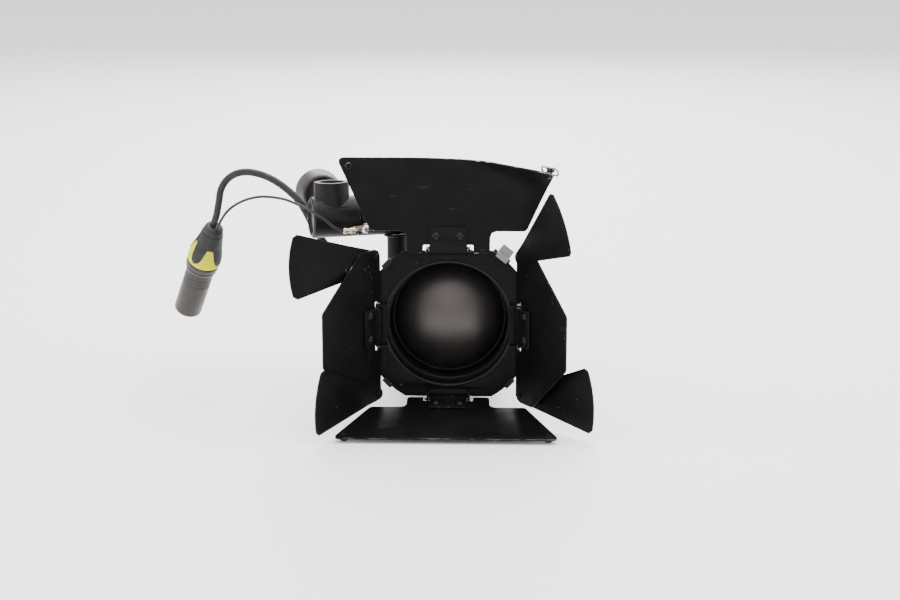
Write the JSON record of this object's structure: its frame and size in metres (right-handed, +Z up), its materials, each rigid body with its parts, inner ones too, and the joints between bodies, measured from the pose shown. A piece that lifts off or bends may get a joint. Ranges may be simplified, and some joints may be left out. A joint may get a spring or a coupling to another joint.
{
  "type": "fresnel spotlight",
  "caption": "Small black studio spotlight head with a rotating barn door, folding leaves, corner wings, a tilting stand socket and a short lead with a connector.",
  "frame": {"origin": "bottom centre of the head's bounding box, without its lead, on the surface that it lies on", "axes": "-Y the way the light leaves, +X to the right seen from the front, +Z up as the head lies"},
  "size_m": [0.285, 0.19, 0.1677],
  "materials": {
    "aluminium": "milled",
    "black_casting": "fine-textured black enamel on an aluminium casting",
    "black_paint": "satin black powder coat",
    "brass": "tinned brass",
    "bright_steel": "bright steel",
    "ceramic": "white steatite",
    "dark_plastic": "moulded",
    "glass": "polished",
    "grey_plastic": "moulded",
    "light_grey": "light grey plated steel",
    "rubber": "matt black",
    "satin_nickel": "dark satin plating",
    "yellow_plastic": "moulded yellow",
    "zinc": "zinc-plated"
  },
  "bodies": {
    "head": {"accessory_holder": "black_casting", "back_cover": "black_casting", "cable_gland": "rubber", "cover_screw_left": "zinc", "cover_screw_right": "zinc", "earth_wire": "rubber", "friction_washer": "bright_steel", "guide_rod_left": "bright_steel", "guide_rod_right": "bright_steel", "lamp_house": "black_casting", "latch_pin": "bright_steel", "lens": "glass", "lens_barrel": "black_casting", "lens_retainer": "black_paint", "main_cable": "rubber", "mount_foot": "black_casting", "mount_screw_back": "zinc", "mount_screw_front": "zinc", "plug_boot": "rubber", "plug_collar": "dark_plastic", "plug_insert": "dark_plastic", "plug_ring": "yellow_plastic", "plug_shell": "satin_nickel", "post_washer": "dark_plastic", "ring_terminal": "brass", "terminal_screw": "zinc", "tilt_block": "black_casting", "tilt_bolt": "bright_steel", "vent_hood": "black_casting"},
    "door": {"barndoor_plate": "black_paint", "hinge_pin_top": "bright_steel", "hinge_pin_bottom": "bright_steel", "hinge_pin_left": "bright_steel", "hinge_pin_right": "bright_steel"},
    "leaf_top": {"leaf_top": "black_paint", "hinge_clip_top": "black_paint"},
    "leaf_bottom": {"leaf_bottom": "black_paint", "hinge_clip_bottom": "black_paint"},
    "leaf_left": {"leaf_left": "black_paint", "hinge_clip_left": "black_paint", "wing_rivet_upper_left": "black_paint", "wing_rivet_lower_left": "black_paint"},
    "leaf_right": {"leaf_right": "black_paint", "hinge_clip_right": "black_paint", "wing_rivet_upper_right": "black_paint", "wing_rivet_lower_right": "black_paint"},
    "wing_upper_left": {"wing_upper_left": "black_paint"},
    "wing_lower_left": {"wing_lower_left": "black_paint"},
    "wing_upper_right": {"wing_upper_right": "black_paint"},
    "wing_lower_right": {"wing_lower_right": "black_paint"},
    "latch": {"latch_lever": "light_grey"},
    "carriage": {"lamp_carriage": "aluminium", "lamp_socket": "ceramic", "halogen_lamp": "glass", "reflector": "bright_steel"},
    "focus": {"focus_screw": "bright_steel", "focus_knob": "dark_plastic"},
    "stand": {"stand_socket": "black_casting"},
    "lock": {"lock_knob": "grey_plastic"}
  },
  "joints": [
    {"name": "barndoor_rotate", "type": "hinge", "parent": "head", "child": "door", "pos_m": [0.00694, -0.03323, 0.06125], "axis": [0, 1, 0], "range_deg": [-180, 180]},
    {"name": "leaf_top_fold", "type": "hinge", "parent": "door", "child": "leaf_top", "pos_m": [0.00694, -0.03743, 0.11005], "axis": [-1, 0, 0], "range_deg": [-17, 24]},
    {"name": "leaf_bottom_fold", "type": "hinge", "parent": "door", "child": "leaf_bottom", "pos_m": [0.00694, -0.03743, 0.01245], "axis": [1, 0, 0], "range_deg": [-40, 90]},
    {"name": "leaf_left_fold", "type": "hinge", "parent": "door", "child": "leaf_left", "pos_m": [-0.03756, -0.03743, 0.06125], "axis": [0, 0, 1], "range_deg": [-40, 54]},
    {"name": "leaf_right_fold", "type": "hinge", "parent": "door", "child": "leaf_right", "pos_m": [0.05144, -0.03743, 0.06125], "axis": [0, 0, -1], "range_deg": [-60, 58]},
    {"name": "wing_upper_left_swing", "type": "hinge", "parent": "leaf_left", "child": "wing_upper_left", "pos_m": [-0.0398, -0.03825, 0.10625], "axis": [-0.8018, 0.5976, 0], "range_deg": [-46, 59]},
    {"name": "wing_lower_left_swing", "type": "hinge", "parent": "leaf_left", "child": "wing_lower_left", "pos_m": [-0.03771, -0.03981, 0.01625], "axis": [0.8018, -0.5976, 0], "range_deg": [-38, 67]},
    {"name": "wing_upper_right_swing", "type": "hinge", "parent": "leaf_right", "child": "wing_upper_right", "pos_m": [0.05146, -0.03981, 0.10625], "axis": [-0.8339, -0.5519, 0], "range_deg": [-75, 30]},
    {"name": "wing_lower_right_swing", "type": "hinge", "parent": "leaf_right", "child": "wing_lower_right", "pos_m": [0.05363, -0.03838, 0.01625], "axis": [0.8339, 0.5519, 0], "range_deg": [-37.5, 67.5]},
    {"name": "latch_release", "type": "hinge", "parent": "head", "child": "latch", "pos_m": [0.04019, -0.02703, 0.10381], "axis": [-0.788, 0, 0.6157], "range_deg": [0, 30]},
    {"name": "focus_turn", "type": "hinge", "parent": "head", "child": "focus", "pos_m": [0.00694, -0.03323, 0.02725], "axis": [0, 1, 0], "range_deg": [-240, 150]},
    {"name": "carriage_slide", "type": "slide", "parent": "head", "child": "carriage", "axis": [0, 1, 0], "range_m": [-0.0079, 0.00494]},
    {"name": "head_tilt", "type": "hinge", "parent": "head", "child": "stand", "pos_m": [-0.08376, 0.00177, 0.12305], "axis": [0.9613, 0.2756, 0], "range_deg": [-6, 30]},
    {"name": "lock_turn", "type": "hinge", "parent": "stand", "child": "lock", "pos_m": [-0.07013, 0.00648, 0.13403], "axis": [-0.275, 0.9589, -0.0698], "range_deg": [-180, 180]}
  ],
  "couplings": [
    {"joint": "focus_turn", "follows": "carriage_slide", "rad_per_m": 530.23}
  ]
}
